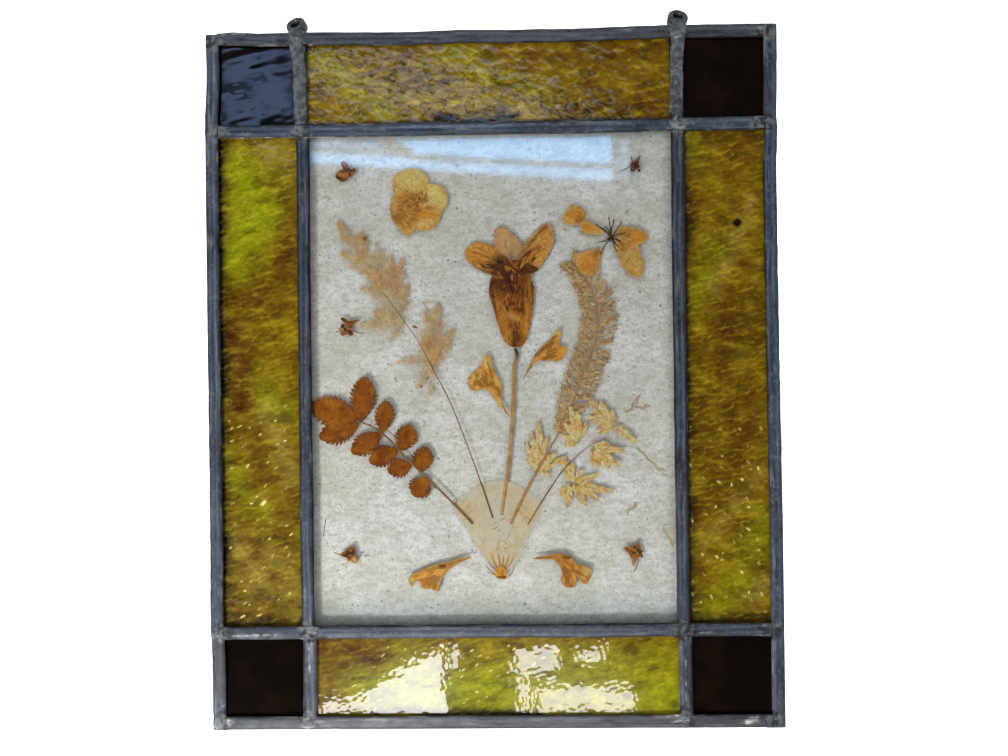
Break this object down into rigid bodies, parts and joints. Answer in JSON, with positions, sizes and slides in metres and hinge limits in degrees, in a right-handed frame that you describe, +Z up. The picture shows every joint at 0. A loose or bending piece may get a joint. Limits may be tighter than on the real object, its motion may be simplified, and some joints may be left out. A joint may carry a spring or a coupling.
{
  "type": "pressed flower frame",
  "caption": "Hanging leaded glass panel: pressed flowers sealed between clear panes, bordered by streaky olive glass and dark corner squares.",
  "frame": {"origin": "midway between the centres of the two hanging loop eyes, in the panel's mid plane", "axes": "+Z up along the panel's height, +X across its width to the right as seen from the front, and the front faces -Y"},
  "size_m": [0.2793, 0.011, 0.3499],
  "materials": {
    "lead_came": "satin, blue-grey oxidised lead",
    "loop_solder": "dark patina on tinned wire and solder",
    "dark_glass": "gloss, near-black, slightly rippled",
    "streaky_glass": "gloss, hammered, streaky olive and amber",
    "clear_glass": "gloss, clear",
    "backing_sheet": "matte, mottled off-white",
    "amber_petal": "matte, translucent dried petal",
    "umber_blossom": "matte, dried",
    "leaf": "matte, dried leaf",
    "straw": "matte, dry grass",
    "tawny_grass": "matte, dry grass and stems",
    "ivory_petal": "matte, thin translucent petal"
  },
  "bodies": {
    "root": {"border_came_left": "lead_came", "border_came_right": "lead_came", "border_came_top": "lead_came", "border_came_bottom": "lead_came", "cross_came_top": "lead_came", "cross_came_bottom": "lead_came", "upright_came_left_upper": "lead_came", "upright_came_right_upper": "lead_came", "upright_came_left_middle": "lead_came", "upright_came_right_middle": "lead_came", "upright_came_left_lower": "lead_came", "upright_came_right_lower": "lead_came", "hanging_loop_left": "loop_solder", "hanging_loop_right": "loop_solder", "corner_glass_top_left": "dark_glass", "corner_glass_top_right": "dark_glass", "border_glass_top": "streaky_glass", "corner_glass_bottom_left": "dark_glass", "corner_glass_bottom_right": "dark_glass", "border_glass_bottom": "streaky_glass", "border_glass_left": "streaky_glass", "border_glass_right": "streaky_glass", "front_pane": "clear_glass", "back_pane": "clear_glass", "backing_sheet": "backing_sheet", "funnel_flower": "ivory_petal", "funnel_calyx": "umber_blossom", "burnet_leaf": "leaf", "plume_stem": "tawny_grass", "plume_upper": "straw", "plume_lower": "straw", "bell_flower": "amber_petal", "bell_stem": "tawny_grass", "side_bud": "amber_petal", "spurred_flower_upper": "amber_petal", "spurred_flower_left": "amber_petal", "spurred_flower_right": "amber_petal", "blossom_upper_left": "umber_blossom", "blossom_upper_right": "umber_blossom", "blossom_left": "umber_blossom", "blossom_lower_left": "umber_blossom", "blossom_lower_right": "umber_blossom", "round_flower_petal_upper": "amber_petal", "round_flower_petal_right": "amber_petal", "round_flower_petal_lower": "amber_petal", "round_flower_petal_left": "amber_petal", "open_flower_petal_1": "amber_petal", "open_flower_petal_2": "amber_petal", "open_flower_petal_3": "amber_petal", "open_flower_petal_4": "amber_petal", "open_flower_petal_5": "amber_petal", "open_flower_eye": "umber_blossom", "foxtail_spike": "tawny_grass", "foxtail_stem": "tawny_grass", "spikelet_stem": "tawny_grass", "spikelets_left": "straw", "spikelets_upper": "straw", "spikelets_upper_right": "straw", "spikelets_middle_right": "straw", "spikelets_lower_right": "straw"}
  },
  "joints": []
}
